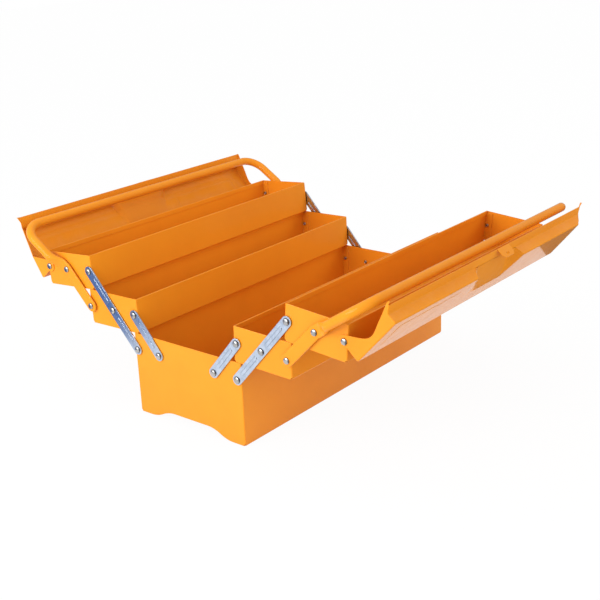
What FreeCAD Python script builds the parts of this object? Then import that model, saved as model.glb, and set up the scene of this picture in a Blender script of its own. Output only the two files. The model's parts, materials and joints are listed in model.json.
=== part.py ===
import FreeCAD, Part
import math
import os

os.makedirs("parts", exist_ok=True)
V = FreeCAD.Vector

# Frame: X along the box, Z up, origin under the middle of the base
# Front is -Y, and every rear piece is its front one turned half round about Z
ZERO = 0.0
TINY = 0.001
HALF_TURN = 180.0
X_AXIS = V(1, 0, 0)
Z_AXIS = V(0, 0, 1)
ORIGIN = V(0, 0, 0)

# Sheet metal of the box
SHEET = 1.0
BEND_OUT = 1.6
BEND_IN = BEND_OUT - SHEET
BOX_LENGTH = 495.0
HALF_LENGTH = BOX_LENGTH / 2
BASE_WIDTH = 200.0
BASE_HEIGHT = 121.0
FOOT_FLAT = 21.0
ARCH_FLAT = 62.0
ARCH_RISE = 12.0
TRAY_WIDTH = 97.0
TRAY_HEIGHT = 50.5
TAB_WIDTH = 11.0
TAB_BELOW_RIM = 3.0
HEM_DEPTH = 7.0
HEM_ROUND = 0.9
RELIEF_RADIUS = 2.0
RELIEF_INSET = 0.7
CUT_OVER = 5.0

# Linkage: pivots, arms and how the open trays hang
PIVOT_IN = 5.8
PIVOT_A1_Y = PIVOT_IN - BASE_WIDTH / 2
PIVOT_DOWN = 24.0
PIVOT_A1_Z = BASE_HEIGHT - PIVOT_DOWN
BASE_SPACING = 42.2
ARM_PITCH = 67.0
LOWER_PIVOT_UP = 27.0
UPPER_PIVOT_UP = 27.3
LOWER_PIVOT_OUT = 48.5
UPPER_PIVOT_OUT = 4.3
HANDLE_SPACING = 44.0
STACK_GAP = 0.3
LOWER_TILT = 1.6
UPPER_TILT = 4.6
LID_PIVOT_IN = 4.5
LID_PIVOT_OUT = TRAY_WIDTH - LID_PIVOT_IN

# Layers outside the end walls, measured outward from the wall face
RUN_GAP = 0.3
ARM_THICK = 2.0
ARM_WIDTH = 15.0
ARM_END = ARM_WIDTH / 2
LID_SHEET = 1.0
SPACER_THICK = 1.3
FLAT_THICK = 3.0
ARM_SEAT = RUN_GAP
ARM_HEAD_SEAT = ARM_SEAT + ARM_THICK + RUN_GAP
LID_SEAT = RUN_GAP
LID_HEAD_SEAT = LID_SEAT + LID_SHEET + RUN_GAP
FLAT_SEAT = SPACER_THICK + RUN_GAP
FLAT_HEAD_SEAT = FLAT_SEAT + FLAT_THICK + RUN_GAP

# Rivets and the holes for them
SHANK_RADIUS = 2.5
HOLE_PLAY = 0.05
SHORT_ARM_PLAY = 0.45
HANDLE_PLAY = 0.65
HEAD_RADIUS = 4.6
HEAD_HEIGHT = 2.3
HEAD_RIM = 0.5
TAIL_RADIUS = 3.1
TAIL_THICK = 1.2
SPACER_RADIUS = 6.0

# Pressed ribs of the arms
RIB_RADIUS = 2.2
RIB_HEIGHT = 0.7
RIB_BACK_RADIUS = 1.5
RIB_END_GAP = 15.0

# Handle
TUBE_RADIUS = 6.5
TUBE_OUT = 12.0
TUBE_BEND = 30.0
HANDLE_PAST_WIDTH = 0.28
HANDLE_REACH = TRAY_WIDTH + HANDLE_PAST_WIDTH
HANDLE_LEAN = 32.92
FLAT_HALF = 9.0
FLAT_PAST_PIVOT = 10.0
NECK_LENGTH = 20.0
NECK_LAP = 2.0
NECK_LESS = 0.15

# Lid, seen in its own frame: u runs inward along the roof, w is the outer normal
LID_ANGLE_OPEN = 132.3
LID_OUTER_U = -3.8
LID_ROOF_W = 29.0
LID_SKIRT_W = 9.0
LID_RIDGE_IN = 18.5
LID_RIDGE_U = TRAY_WIDTH - LID_RIDGE_IN
LID_STEP_BACK = 0.5
LID_STEP_U = LID_RIDGE_U - LID_STEP_BACK
LID_STEP_W = 14.8
LID_TIP_IN = 5.0
LID_TIP_U = TRAY_WIDTH - LID_TIP_IN
LID_TIP_W = 6.0
LID_BEND = 2.6
LID_BEND_SMALL = LID_BEND - LID_SHEET
EDGE_ROUND = 0.42
EAR_RADIUS = 9.0
EAR_BACK_ANGLE = 160.0
CHEEK_KNEE_U = 33.0
CHEEK_KNEE_W = 18.1
CHEEK_MID_IN = 35.0
CHEEK_MID_U = TRAY_WIDTH - CHEEK_MID_IN
CHEEK_MID_W = 12.4
CHEEK_LOW_IN = 12.0
CHEEK_LOW_U = TRAY_WIDTH - CHEEK_LOW_IN
CHEEK_LOW_W = 5.0
EAR_TOP_U = 32.0
EAR_TOP_W = 16.5
RIDGE_SET_IN = 24.0
CUT_REACH = 60.0
SCOOP_RIDGE_HALF = 53.0
SCOOP_FAR_HALF = 34.0
SCOOP_FAR_U = 28.0
SCOOP_FLOOR_HALF = 36.0
SCOOP_FLOOR_W = LID_STEP_W
PANEL_FROM_END = 25.5
PANEL_LENGTH = 144.0
PANEL_FROM_PIVOT = 14.0
PANEL_WIDTH = 46.0
PANEL_RAISE = 0.6
PANEL_CORNER = 8.0
TAB_OFF_MIDDLE = 23.0
TAB_HALF = 15.0
HASP_HEIGHT = 14.0
HASP_CORNER = 5.0
SLOT_HALF = 3.2
SLOT_HIGH = 3.0
SLOT_FROM_TOP = 6.5


def arm_vector(angle, length):
    return (-length * math.sin(angle), length * math.cos(angle))


def out_axis(tilt):
    return (-math.cos(tilt), -math.sin(tilt))


def up_axis(tilt):
    return (-math.sin(tilt), math.cos(tilt))


def add(p, q, k=1.0):
    return (p[0] + k * q[0], p[1] + k * q[1])


def size(p):
    return math.hypot(p[0], p[1])


# The open angle lets the tilted lower tray just clear the base wall
low_tilt = math.radians(LOWER_TILT)
top_tilt = math.radians(UPPER_TILT)
drop = BASE_HEIGHT + STACK_GAP - PIVOT_A1_Z
reach = BASE_WIDTH / 2 + PIVOT_A1_Y + LOWER_PIVOT_UP * math.sin(low_tilt)
rise = drop + LOWER_PIVOT_UP * math.cos(low_tilt) + reach * math.tan(low_tilt)
open_angle = low_tilt + math.acos(rise * math.cos(low_tilt) / ARM_PITCH)
closed_angle = math.acos((drop + LOWER_PIVOT_UP) / ARM_PITCH)

low_out = out_axis(low_tilt)
low_up = up_axis(low_tilt)
top_out = out_axis(top_tilt)
top_up = up_axis(top_tilt)
open_arm = arm_vector(open_angle, ARM_PITCH)
closed_arm = arm_vector(-closed_angle, ARM_PITCH)


# Spacing on the tray that gives the side link one length both open and closed
def spacing(start, open_of, closed_of):
    span = start / 5
    low = start - span
    high = start + span
    low_sign = size(open_of(low)) > size(closed_of(low))
    for _ in range(60):
        middle = (low + high) / 2
        if (size(open_of(middle)) > size(closed_of(middle))) == low_sign:
            low = middle
        else:
            high = middle
    return (low + high) / 2


def short_open(s):
    return add(add(open_arm, low_out, -s), (-BASE_SPACING, ZERO))


def short_closed(s):
    return add(closed_arm, (s - BASE_SPACING, ZERO))


def link_open(s):
    return add(add(open_arm, top_out, s), low_out, -HANDLE_SPACING)


def link_closed(s):
    return add(closed_arm, (HANDLE_SPACING - s, ZERO))


tray_spacing = spacing(BASE_SPACING, short_open, short_closed)
top_spacing = spacing(HANDLE_SPACING, link_open, link_closed)

A1 = (PIVOT_A1_Y, PIVOT_A1_Z)
A2 = (PIVOT_A1_Y + BASE_SPACING, PIVOT_A1_Z)
B1 = add(A1, open_arm)
C1 = add(B1, open_arm)
B2 = add(B1, low_out, -tray_spacing)
B3 = add(B1, low_out, HANDLE_SPACING)
C3 = add(C1, top_out, top_spacing)
LOWER_CORNER = add(add(B1, low_out, -LOWER_PIVOT_OUT), low_up, -LOWER_PIVOT_UP)
UPPER_CORNER = add(add(C1, top_out, -UPPER_PIVOT_OUT), top_up, -UPPER_PIVOT_UP)
D = add(add(UPPER_CORNER, top_out, LID_PIVOT_OUT), top_up, UPPER_PIVOT_UP)
lean_angle = math.radians(HANDLE_LEAN)
BAR = add(C3, (-math.cos(lean_angle), math.sin(lean_angle)), HANDLE_REACH)


# Closed wire through corners (a, b, radius) in the YZ plane
def outline(corners):
    n = len(corners)
    edges = []
    last = None
    first = None
    for i in range(n):
        a, b, r = corners[i]
        pa, pb, _ = corners[i - 1]
        na, nb, _ = corners[(i + 1) % n]
        back = (pa - a, pb - b)
        on = (na - a, nb - b)
        back = (back[0] / size(back), back[1] / size(back))
        on = (on[0] / size(on), on[1] / size(on))
        if r > ZERO:
            half = math.acos(max(-1.0, min(1.0, back[0] * on[0] + back[1] * on[1]))) / 2
            run = r / math.tan(half)
            bis = (back[0] + on[0], back[1] + on[1])
            far = r / math.sin(half) - r
            start = (a + back[0] * run, b + back[1] * run)
            end = (a + on[0] * run, b + on[1] * run)
            mid = (a + bis[0] / size(bis) * far, b + bis[1] / size(bis) * far)
        else:
            start = (a, b)
            end = (a, b)
            mid = None
        if last is None:
            first = start
        elif size((start[0] - last[0], start[1] - last[1])) > TINY:
            edges.append(Part.makeLine(V(ZERO, *last), V(ZERO, *start)))
        else:
            start = last
        if mid is not None:
            edges.append(Part.Arc(V(ZERO, *start), V(ZERO, *mid), V(ZERO, *end)).toShape())
        last = end
    edges.append(Part.makeLine(V(ZERO, *last), V(ZERO, *first)))
    return Part.Wire(edges)


def prism(corners, x0, x1):
    solid = Part.Face(outline(corners)).extrude(V(x1 - x0, ZERO, ZERO))
    solid.translate(V(x0, ZERO, ZERO))
    return solid


def sharp(points):
    return [(a, b, ZERO) for a, b in points]


def block(x0, x1, y0, y1, z0, z1):
    return Part.makeBox(x1 - x0, y1 - y0, z1 - z0, V(x0, y0, z0))


def rod(x0, x1, y, z, radius):
    return Part.makeCylinder(radius, x1 - x0, V(x0, y, z), X_AXIS)


def merge(shapes):
    body = shapes[0]
    for s in shapes[1:]:
        body = body.fuse(s)
    return body.removeSplitter()


# Upright block with rounded corners, used to round the corners of a tub
def upright(half_x, y0, y1, z0, z1, radius):
    b = block(-half_x, half_x, y0, y1, z0, z1)
    edges = [e for e in b.Edges if abs(e.Vertexes[0].Z - e.Vertexes[1].Z) > radius]
    return b.makeFillet(radius, edges)


# Open sheet tub: outer profile less inner profile, with corner tabs and rolled long rims
def tub(outer, inner, y0, y1, height, holes):
    body = prism(outer, -HALF_LENGTH, HALF_LENGTH)
    body = body.common(upright(HALF_LENGTH, y0, y1, -CUT_OVER, height, BEND_OUT))
    hollow = prism(inner, SHEET - HALF_LENGTH, HALF_LENGTH - SHEET)
    room = upright(HALF_LENGTH - SHEET, y0 + SHEET, y1 - SHEET, -CUT_OVER, height + CUT_OVER, BEND_IN)
    body = body.cut(hollow.common(room))
    extra = []
    low = max(c[1] for c in inner if c[1] < height) + BEND_OUT
    for side in (-1, 1):
        x_in = side * (HALF_LENGTH - SHEET)
        x_tab = side * (HALF_LENGTH - SHEET - SHEET)
        for edge, way in ((y0 + SHEET, 1), (y1 - SHEET, -1)):
            a = edge
            b = edge + way * TAB_WIDTH
            extra.append(block(min(x_in, x_tab), max(x_in, x_tab), min(a, b), max(a, b),
                               low, height - TAB_BELOW_RIM))
    for edge, way in ((y0, 1), (y1, -1)):
        a = edge
        b = edge + way * SHEET * 2
        bar = block(SHEET * 2 - HALF_LENGTH, HALF_LENGTH - SHEET * 2, min(a, b), max(a, b),
                    height - HEM_DEPTH, height)
        extra.append(bar)
    body = merge([body] + extra)
    rims = []
    for e in body.Edges:
        box = e.BoundBox
        flat = box.ZMin > height - SHEET / 10
        along = box.XLength > BOX_LENGTH / 2 and box.YLength < SHEET
        if flat and along:
            rims.append(e)
    body = body.makeFillet(HEM_ROUND, rims)
    for sx in (-1, 1):
        for y in (y0 + RELIEF_INSET, y1 - RELIEF_INSET):
            x = sx * (HALF_LENGTH - RELIEF_INSET)
            body = body.cut(Part.makeSphere(RELIEF_RADIUS, V(x, y, RELIEF_INSET)))
    for y, z in holes:
        body = body.cut(rod(-HALF_LENGTH - CUT_OVER, HALF_LENGTH + CUT_OVER, y, z,
                            SHANK_RADIUS + HOLE_PLAY))
    return body


def base_box():
    half = BASE_WIDTH / 2
    run = half - FOOT_FLAT - ARCH_FLAT / 2
    radius = (run * run + ARCH_RISE * ARCH_RISE) / (ARCH_RISE * 4)
    slope = math.asin(run / 2 / radius)
    corner = radius * math.tan(slope / 2)
    foot = half - FOOT_FLAT - corner
    crown = ARCH_FLAT / 2 + corner
    shift = SHEET * math.tan(slope / 2)
    outer = [(-half, BASE_HEIGHT, ZERO), (-half, ZERO, BEND_OUT), (-foot, ZERO, radius),
             (-crown, ARCH_RISE, radius), (crown, ARCH_RISE, radius), (foot, ZERO, radius),
             (half, ZERO, BEND_OUT), (half, BASE_HEIGHT, ZERO)]
    wall = half - SHEET
    top = BASE_HEIGHT + CUT_OVER
    low = foot + shift
    high = crown + shift
    inner = [(-wall, top, ZERO), (-wall, SHEET, BEND_IN), (-low, SHEET, radius - SHEET),
             (-high, ARCH_RISE + SHEET, radius + SHEET), (high, ARCH_RISE + SHEET, radius + SHEET),
             (low, SHEET, radius - SHEET), (wall, SHEET, BEND_IN), (wall, top, ZERO)]
    holes = [A1, A2, (-A1[0], A1[1]), (-A2[0], A2[1])]
    return tub(outer, inner, -half, half, BASE_HEIGHT, holes)


# Tray in its own frame: -Y is outward and the inner bottom corner is the origin
def tray_box(pivots):
    outer = [(-TRAY_WIDTH, TRAY_HEIGHT, ZERO), (-TRAY_WIDTH, ZERO, BEND_OUT),
             (ZERO, ZERO, BEND_OUT), (ZERO, TRAY_HEIGHT, ZERO)]
    top = TRAY_HEIGHT + CUT_OVER
    inner = [(SHEET - TRAY_WIDTH, top, ZERO), (SHEET - TRAY_WIDTH, SHEET, BEND_IN),
             (-SHEET, SHEET, BEND_IN), (-SHEET, top, ZERO)]
    holes = [(-out, up) for out, up in pivots]
    return tub(outer, inner, -TRAY_WIDTH, ZERO, TRAY_HEIGHT, holes)


def place(shape, corner, angle):
    s = shape.copy()
    s.rotate(ORIGIN, X_AXIS, angle)
    s.translate(V(ZERO, corner[0], corner[1]))
    return s


def rear(shape):
    s = shape.copy()
    s.rotate(ORIGIN, Z_AXIS, HALF_TURN)
    return s


# Slab between two distances outside an end wall, side -1 is left and 1 is right
def span(side, near, far):
    a = side * (HALF_LENGTH + near)
    b = side * (HALF_LENGTH + far)
    return (min(a, b), max(a, b))


# Flat link with round ends, drawn along the line from p to q
def capsule(side, near, far, p, q, radius):
    x0, x1 = span(side, near, far)
    way = (q[0] - p[0], q[1] - p[1])
    unit = (way[0] / size(way), way[1] / size(way))
    across = (-unit[1] * radius, unit[0] * radius)
    corners = [add(p, across), add(q, across), add(q, across, -1.0), add(p, across, -1.0)]
    return merge([prism(sharp(corners), x0, x1), rod(x0, x1, p[0], p[1], radius),
                  rod(x0, x1, q[0], q[1], radius)])


def bore(shape, side, p, radius):
    x0, x1 = span(side, -CUT_OVER, FLAT_HEAD_SEAT + CUT_OVER)
    return shape.cut(rod(x0, x1, p[0], p[1], radius))


def toward(p, q, distance):
    way = (q[0] - p[0], q[1] - p[1])
    return add(p, (way[0] / size(way), way[1] / size(way)), distance)


def arm(side, pivots, plays):
    body = capsule(side, ARM_SEAT, ARM_SEAT + ARM_THICK, pivots[0], pivots[-1], ARM_END)
    face = ARM_SEAT + ARM_THICK
    for p, q in zip(pivots[:-1], pivots[1:]):
        a = toward(p, q, RIB_END_GAP)
        b = toward(q, p, RIB_END_GAP)
        body = body.fuse(capsule(side, face - SHEET, face + RIB_HEIGHT, a, b, RIB_RADIUS))
        body = body.cut(capsule(side, ZERO, ARM_SEAT + RIB_HEIGHT, a, b, RIB_BACK_RADIUS))
    for p, play in zip(pivots, plays):
        body = bore(body, side, p, SHANK_RADIUS + play)
    return body.removeSplitter()


# Rivet: flat tail inside the wall, shank, domed head outside
def rivet(side, p, seat, grip):
    x0, x1 = span(side, -grip, seat)
    t0, t1 = span(side, -grip - TAIL_THICK, -grip)
    h0, h1 = span(side, seat, seat + HEAD_RIM)
    dome = HEAD_HEIGHT - HEAD_RIM
    ball = (HEAD_RADIUS * HEAD_RADIUS + dome * dome) / (dome * 2)
    centre = side * (HALF_LENGTH + seat + HEAD_HEIGHT - ball)
    cap = Part.makeSphere(ball, V(centre, p[0], p[1]))
    c0, c1 = span(side, seat + HEAD_RIM, seat + HEAD_HEIGHT + CUT_OVER)
    cap = cap.common(rod(c0, c1, p[0], p[1], HEAD_RADIUS))
    return merge([rod(x0, x1, p[0], p[1], SHANK_RADIUS), rod(t0, t1, p[0], p[1], TAIL_RADIUS),
                  rod(h0, h1, p[0], p[1], HEAD_RADIUS), cap])


def rivets(jobs):
    return Part.makeCompound([rivet(side, p, seat, grip)
                              for side in (-1, 1) for p, seat, grip in jobs])


def spacers(pivots):
    out = []
    for side in (-1, 1):
        x0, x1 = span(side, ZERO, SPACER_THICK)
        for p in pivots:
            ring = rod(x0, x1, p[0], p[1], SPACER_RADIUS)
            out.append(ring.cut(rod(x0 - CUT_OVER, x1 + CUT_OVER, p[0], p[1],
                                    SHANK_RADIUS + HOLE_PLAY)))
    return Part.makeCompound(out)


# Handle: flat ends on pivots B3 and C3, necks, and a bent bar
def handle():
    way = (BAR[0] - C3[0], BAR[1] - C3[1])
    reach_bar = size(way)
    unit = (way[0] / reach_bar, way[1] / reach_bar)
    along = V(ZERO, unit[0], unit[1])
    across = V(ZERO, -unit[1], unit[0])
    tube_x = HALF_LENGTH + TUBE_OUT
    flat_x = HALF_LENGTH + FLAT_SEAT + FLAT_THICK / 2

    def at(x, k):
        return V(x, C3[0] + unit[0] * k, C3[1] + unit[1] * k)

    neck_end = FLAT_PAST_PIVOT + NECK_LENGTH
    bend_from = reach_bar - TUBE_BEND
    lean = TUBE_BEND * (1 - math.sqrt(0.5))
    inner_x = tube_x - TUBE_BEND
    tube_from = neck_end - NECK_LAP
    path = Part.Wire([
        Part.makeLine(at(-tube_x, tube_from), at(-tube_x, bend_from)),
        Part.Arc(at(-tube_x, bend_from), at(-tube_x + lean, reach_bar - lean),
                 at(-inner_x, reach_bar)).toShape(),
        Part.makeLine(at(-inner_x, reach_bar), at(inner_x, reach_bar)),
        Part.Arc(at(inner_x, reach_bar), at(tube_x - lean, reach_bar - lean),
                 at(tube_x, bend_from)).toShape(),
        Part.makeLine(at(tube_x, bend_from), at(tube_x, tube_from))])
    ring = Part.Wire([Part.makeCircle(TUBE_RADIUS, at(-tube_x, tube_from), along)])
    pieces = [path.makePipeShell([ring], True, True)]
    for side in (-1, 1):
        tip = add(C3, unit, FLAT_PAST_PIVOT)
        low = capsule(side, FLAT_SEAT, FLAT_SEAT + FLAT_THICK, B3, C3, FLAT_HALF)
        top = capsule(side, FLAT_SEAT, FLAT_SEAT + FLAT_THICK, C3, tip, FLAT_HALF)
        flat_at = at(side * flat_x, FLAT_PAST_PIVOT - NECK_LAP)
        tube_at = at(side * tube_x, neck_end)
        oval = Part.Ellipse(flat_at + across * (FLAT_HALF - NECK_LESS * 2),
                            flat_at + X_AXIS * (FLAT_THICK / 2 - NECK_LESS), flat_at).toShape()
        thin = TUBE_RADIUS - NECK_LESS
        round_end = Part.Ellipse(tube_at + across * thin, tube_at + X_AXIS * (thin - TINY),
                                 tube_at).toShape()
        neck = Part.makeLoft([Part.Wire([oval]), Part.Wire([round_end])], True, False)
        pieces += [low, top, neck]
    body = pieces[0]
    for s in pieces[1:]:
        body = body.fuse(s)
    for side in (-1, 1):
        body = bore(body, side, B3, SHANK_RADIUS + HANDLE_PLAY)
        body = bore(body, side, C3, SHANK_RADIUS + HOLE_PLAY)
    return body


# Sheet of the lid thick inward, to the right of the outer line
def sheet_profile(points, thick, outer_round, inner_round):
    n = len(points)
    normals = []
    for p, q in zip(points[:-1], points[1:]):
        way = (q[0] - p[0], q[1] - p[1])
        normals.append((way[1] / size(way), -way[0] / size(way)))
    inner = []
    for i in range(n):
        a = normals[max(i - 1, 0)]
        b = normals[min(i, n - 2)]
        both = (a[0] + b[0], a[1] + b[1])
        k = thick * 2 / (both[0] * both[0] + both[1] * both[1])
        inner.append(add(points[i], both, k))
    out = [(p[0], p[1], r) for p, r in zip(points, outer_round)]
    back = [(p[0], p[1], r) for p, r in zip(inner, inner_round)]
    return out + back[::-1]


# Six cornered block that makes the scoop: wide at the ridge, pointed at its floor
def scoop_block(grow, ridge_u, top_w):
    deep = LID_ROOF_W - SCOOP_FLOOR_W
    lift = (top_w - LID_ROOF_W) / deep
    far_step = (LID_RIDGE_U - SCOOP_FAR_U) * lift
    side_step = (SCOOP_RIDGE_HALF - SCOOP_FLOOR_HALF) * lift
    wide = SCOOP_RIDGE_HALF + side_step + grow * 2
    far = SCOOP_FAR_HALF + side_step / 2 + grow * 2
    far_u = SCOOP_FAR_U - far_step - grow * 2
    floor = SCOOP_FLOOR_HALF + grow
    floor_w = SCOOP_FLOOR_W - grow
    top = [V(-wide, ridge_u, top_w), V(wide, ridge_u, top_w), V(far, far_u, top_w),
           V(-far, far_u, top_w)]
    low = [V(-floor, ridge_u, floor_w), V(floor, ridge_u, floor_w)]

    def face(points):
        return Part.Face(Part.makePolygon(points + [points[0]]))

    faces = [face(top), face([low[0], low[1], top[2], top[3]]),
             face([low[0], low[1], top[1], top[0]]), face([low[0], top[0], top[3]]),
             face([low[1], top[1], top[2]])]
    return Part.Solid(Part.makeShell(faces))


def tangent_point(p, radius):
    far = size(p)
    base = math.atan2(p[1], p[0])
    angle = base - math.acos(radius / far)
    return (radius * math.cos(angle), radius * math.sin(angle))


def lid(tab_middle):
    end = HALF_LENGTH + LID_SEAT + LID_SHEET
    inner_face = HALF_LENGTH + LID_SEAT
    line = [(LID_OUTER_U, LID_SKIRT_W), (LID_OUTER_U, LID_ROOF_W), (LID_RIDGE_U, LID_ROOF_W),
            (LID_STEP_U, LID_STEP_W), (LID_TIP_U, LID_TIP_W)]
    big = LID_BEND
    small = LID_BEND_SMALL
    profile = sheet_profile(line, LID_SHEET, [EDGE_ROUND, big, big, small, EDGE_ROUND],
                            [EDGE_ROUND, small, small, big, EDGE_ROUND])
    body = prism(profile, -end, end)
    # Recess for the fingers
    body = body.fuse(scoop_block(LID_SHEET, LID_RIDGE_U, LID_ROOF_W))
    hole = scoop_block(ZERO, LID_RIDGE_U + LID_SHEET, LID_ROOF_W + LID_SHEET)
    body = body.cut(hole)
    # The right end is set in at the ridge
    roof_run = LID_RIDGE_U - LID_OUTER_U
    p1 = V(end, LID_OUTER_U, LID_ROOF_W)
    p2 = V(end - RIDGE_SET_IN, LID_RIDGE_U, LID_ROOF_W)
    p3 = V(end, LID_STEP_U, LID_STEP_W)
    normal = (p2 - p1).cross(p3 - p1)
    if normal.x < ZERO:
        normal = normal * -1.0
    normal.normalize()
    a = (p2 - p1)
    a.normalize()
    b = normal.cross(a)
    b.normalize()
    start = p1 - a * CUT_REACH - b * (CUT_REACH * 2)
    far = CUT_REACH * 4
    quad = [start, start + a * far, start + a * far + b * far, start + b * far, start]
    cutter = Part.Face(Part.makePolygon(quad)).extrude(normal * CUT_REACH)
    body = body.cut(cutter)
    # Ears and the full cheek of the left end
    knee = (CHEEK_KNEE_U, CHEEK_KNEE_W)
    lean = math.radians(EAR_BACK_ANGLE)
    back = (EAR_RADIUS * math.cos(lean), EAR_RADIUS * math.sin(lean))
    outer = (LID_OUTER_U, LID_ROOF_W - LID_BEND)
    roof = (LID_OUTER_U + LID_BEND, LID_ROOF_W)
    cheek = [tangent_point(knee, EAR_RADIUS), knee, (CHEEK_MID_U, CHEEK_MID_W),
             (CHEEK_LOW_U, CHEEK_LOW_W), (LID_TIP_U - LID_SHEET, LID_TIP_W - SHEET / 4),
             (LID_STEP_U, LID_STEP_W), (LID_RIDGE_U - LID_SHEET / 2, LID_ROOF_W - LID_BEND),
             (LID_RIDGE_U - LID_BEND, LID_ROOF_W), roof, outer, (LID_OUTER_U, LID_SKIRT_W), back]
    body = body.fuse(prism(sharp(cheek), -end, -inner_face))
    top = (EAR_TOP_U, EAR_TOP_W)
    ear = [tangent_point(top, EAR_RADIUS), top, roof, outer, (LID_OUTER_U, LID_SKIRT_W), back]
    body = body.fuse(prism(sharp(ear), inner_face, end))
    set_in = RIDGE_SET_IN * (EAR_TOP_U - LID_OUTER_U) / roof_run
    web = [V(end, roof[0], roof[1]), V(end, top[0], top[1]), V(end - set_in, EAR_TOP_U, LID_ROOF_W)]
    wedge = Part.Face(Part.makePolygon(web + [web[0]])).extrude(V(-LID_SHEET, ZERO, ZERO))
    body = body.fuse(wedge)
    body = body.fuse(rod(-end, -inner_face, ZERO, ZERO, EAR_RADIUS))
    body = body.fuse(rod(inner_face, end, ZERO, ZERO, EAR_RADIUS))
    # Plain raised field, lettering left out
    mid_w = LID_ROOF_W + PANEL_RAISE
    left = PANEL_FROM_END - HALF_LENGTH
    field = block(left, left + PANEL_LENGTH, PANEL_FROM_PIVOT, PANEL_FROM_PIVOT + PANEL_WIDTH,
                  LID_ROOF_W - SHEET / 2, mid_w)
    edges = [e for e in field.Edges if abs(e.Vertexes[0].Z - e.Vertexes[1].Z) > SHEET / 2]
    body = body.fuse(field.makeFillet(PANEL_CORNER, edges))
    # Hasp tab with a slot
    tab_u0 = LID_TIP_U - LID_SHEET
    tab_top = LID_TIP_W + HASP_HEIGHT
    tab = block(tab_middle - TAB_HALF, tab_middle + TAB_HALF, tab_u0, LID_TIP_U,
                LID_TIP_W - LID_SHEET / 2, tab_top)
    corners = [e for e in tab.Edges if e.Vertexes[0].Z > tab_top - SHEET / 10
               and e.Vertexes[1].Z > tab_top - SHEET / 10 and e.BoundBox.YLength > SHEET / 2]
    tab = tab.makeChamfer(HASP_CORNER, corners)
    slot_z = tab_top - SLOT_FROM_TOP
    tab = tab.cut(block(tab_middle - SLOT_HALF, tab_middle + SLOT_HALF, tab_u0 - SHEET, LID_TIP_U + SHEET,
                        slot_z, slot_z + SLOT_HIGH))
    body = body.fuse(tab)
    body = body.cut(rod(-end - SHEET, end + SHEET, ZERO, ZERO, SHANK_RADIUS + HOLE_PLAY))
    return body.removeSplitter()


WALL = SHEET
DOUBLE = SHEET * 2

parts = {}
parts["base_box"] = base_box()
corner_rivets = rivets([(A1, ARM_HEAD_SEAT, DOUBLE), (A2, ARM_HEAD_SEAT, WALL)])
parts["base_rivets"] = Part.makeCompound(corner_rivets.Solids + rear(corner_rivets).Solids)

front = {}
for name, side in (("left", -1), ("right", 1)):
    front["long_arm_" + name] = arm(side, [A1, B1, C1], [HOLE_PLAY, HOLE_PLAY, HOLE_PLAY])
    front["short_arm_" + name] = arm(side, [A2, B2], [HOLE_PLAY, SHORT_ARM_PLAY])

lower_pivots = [(LOWER_PIVOT_OUT, LOWER_PIVOT_UP), (LOWER_PIVOT_OUT - tray_spacing, LOWER_PIVOT_UP),
                (LOWER_PIVOT_OUT + HANDLE_SPACING, LOWER_PIVOT_UP)]
upper_pivots = [(UPPER_PIVOT_OUT, UPPER_PIVOT_UP), (UPPER_PIVOT_OUT + top_spacing, UPPER_PIVOT_UP),
                (LID_PIVOT_OUT, UPPER_PIVOT_UP)]
front["lower_tray"] = place(tray_box(lower_pivots), LOWER_CORNER, LOWER_TILT)
front["upper_tray"] = place(tray_box(upper_pivots), UPPER_CORNER, UPPER_TILT)
front["lower_tray_rivets"] = rivets([(B1, ARM_HEAD_SEAT, WALL), (B2, ARM_HEAD_SEAT, DOUBLE),
                                     (B3, FLAT_HEAD_SEAT, DOUBLE)])
front["upper_tray_rivets"] = rivets([(C1, ARM_HEAD_SEAT, DOUBLE), (C3, FLAT_HEAD_SEAT, WALL)])
front["lower_tray_spacers"] = spacers([B3])
front["upper_tray_spacers"] = spacers([C3])
front["lid_rivets"] = rivets([(D, LID_HEAD_SEAT, DOUBLE)])
front["handle"] = handle()
front["lid"] = place(lid(TAB_OFF_MIDDLE), D, LID_ANGLE_OPEN)

swap = {"left": "right", "right": "left"}
for name, shape in front.items():
    parts["front_" + name] = shape
    if name == "lid":
        shape = place(lid(-TAB_OFF_MIDDLE), D, LID_ANGLE_OPEN)
    end = name.split("_")[-1]
    if end in swap:
        name = name[:-len(end)] + swap[end]
    parts["rear_" + name] = rear(shape)

for name, shape in parts.items():
    shape.exportStep("parts/" + name + ".step")
    box = shape.BoundBox
    print(name, "solids", len(shape.Solids), "valid", shape.isValid(), "volume", round(shape.Volume, 1),
          "z", round(box.ZMin, 2), round(box.ZMax, 2), "y", round(box.YMin, 2), round(box.YMax, 2))

open_turn = math.degrees(open_angle + closed_angle)
short_turn = math.degrees(math.atan2(*short_closed(tray_spacing)[::-1])
                          - math.atan2(*short_open(tray_spacing)[::-1]))
link_turn = math.degrees(math.atan2(*link_closed(top_spacing)[::-1])
                         - math.atan2(*link_open(top_spacing)[::-1]))
print("fold", open_turn, "short arm", short_turn, "handle link", link_turn)
print("pivots", A1, A2, B1, B2, B3, C1, C3, D)
print("corners", LOWER_CORNER, UPPER_CORNER, "spacings", tray_spacing, top_spacing)
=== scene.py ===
import json
import math

import bmesh
import bpy
from mathutils import Matrix, Vector


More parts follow.
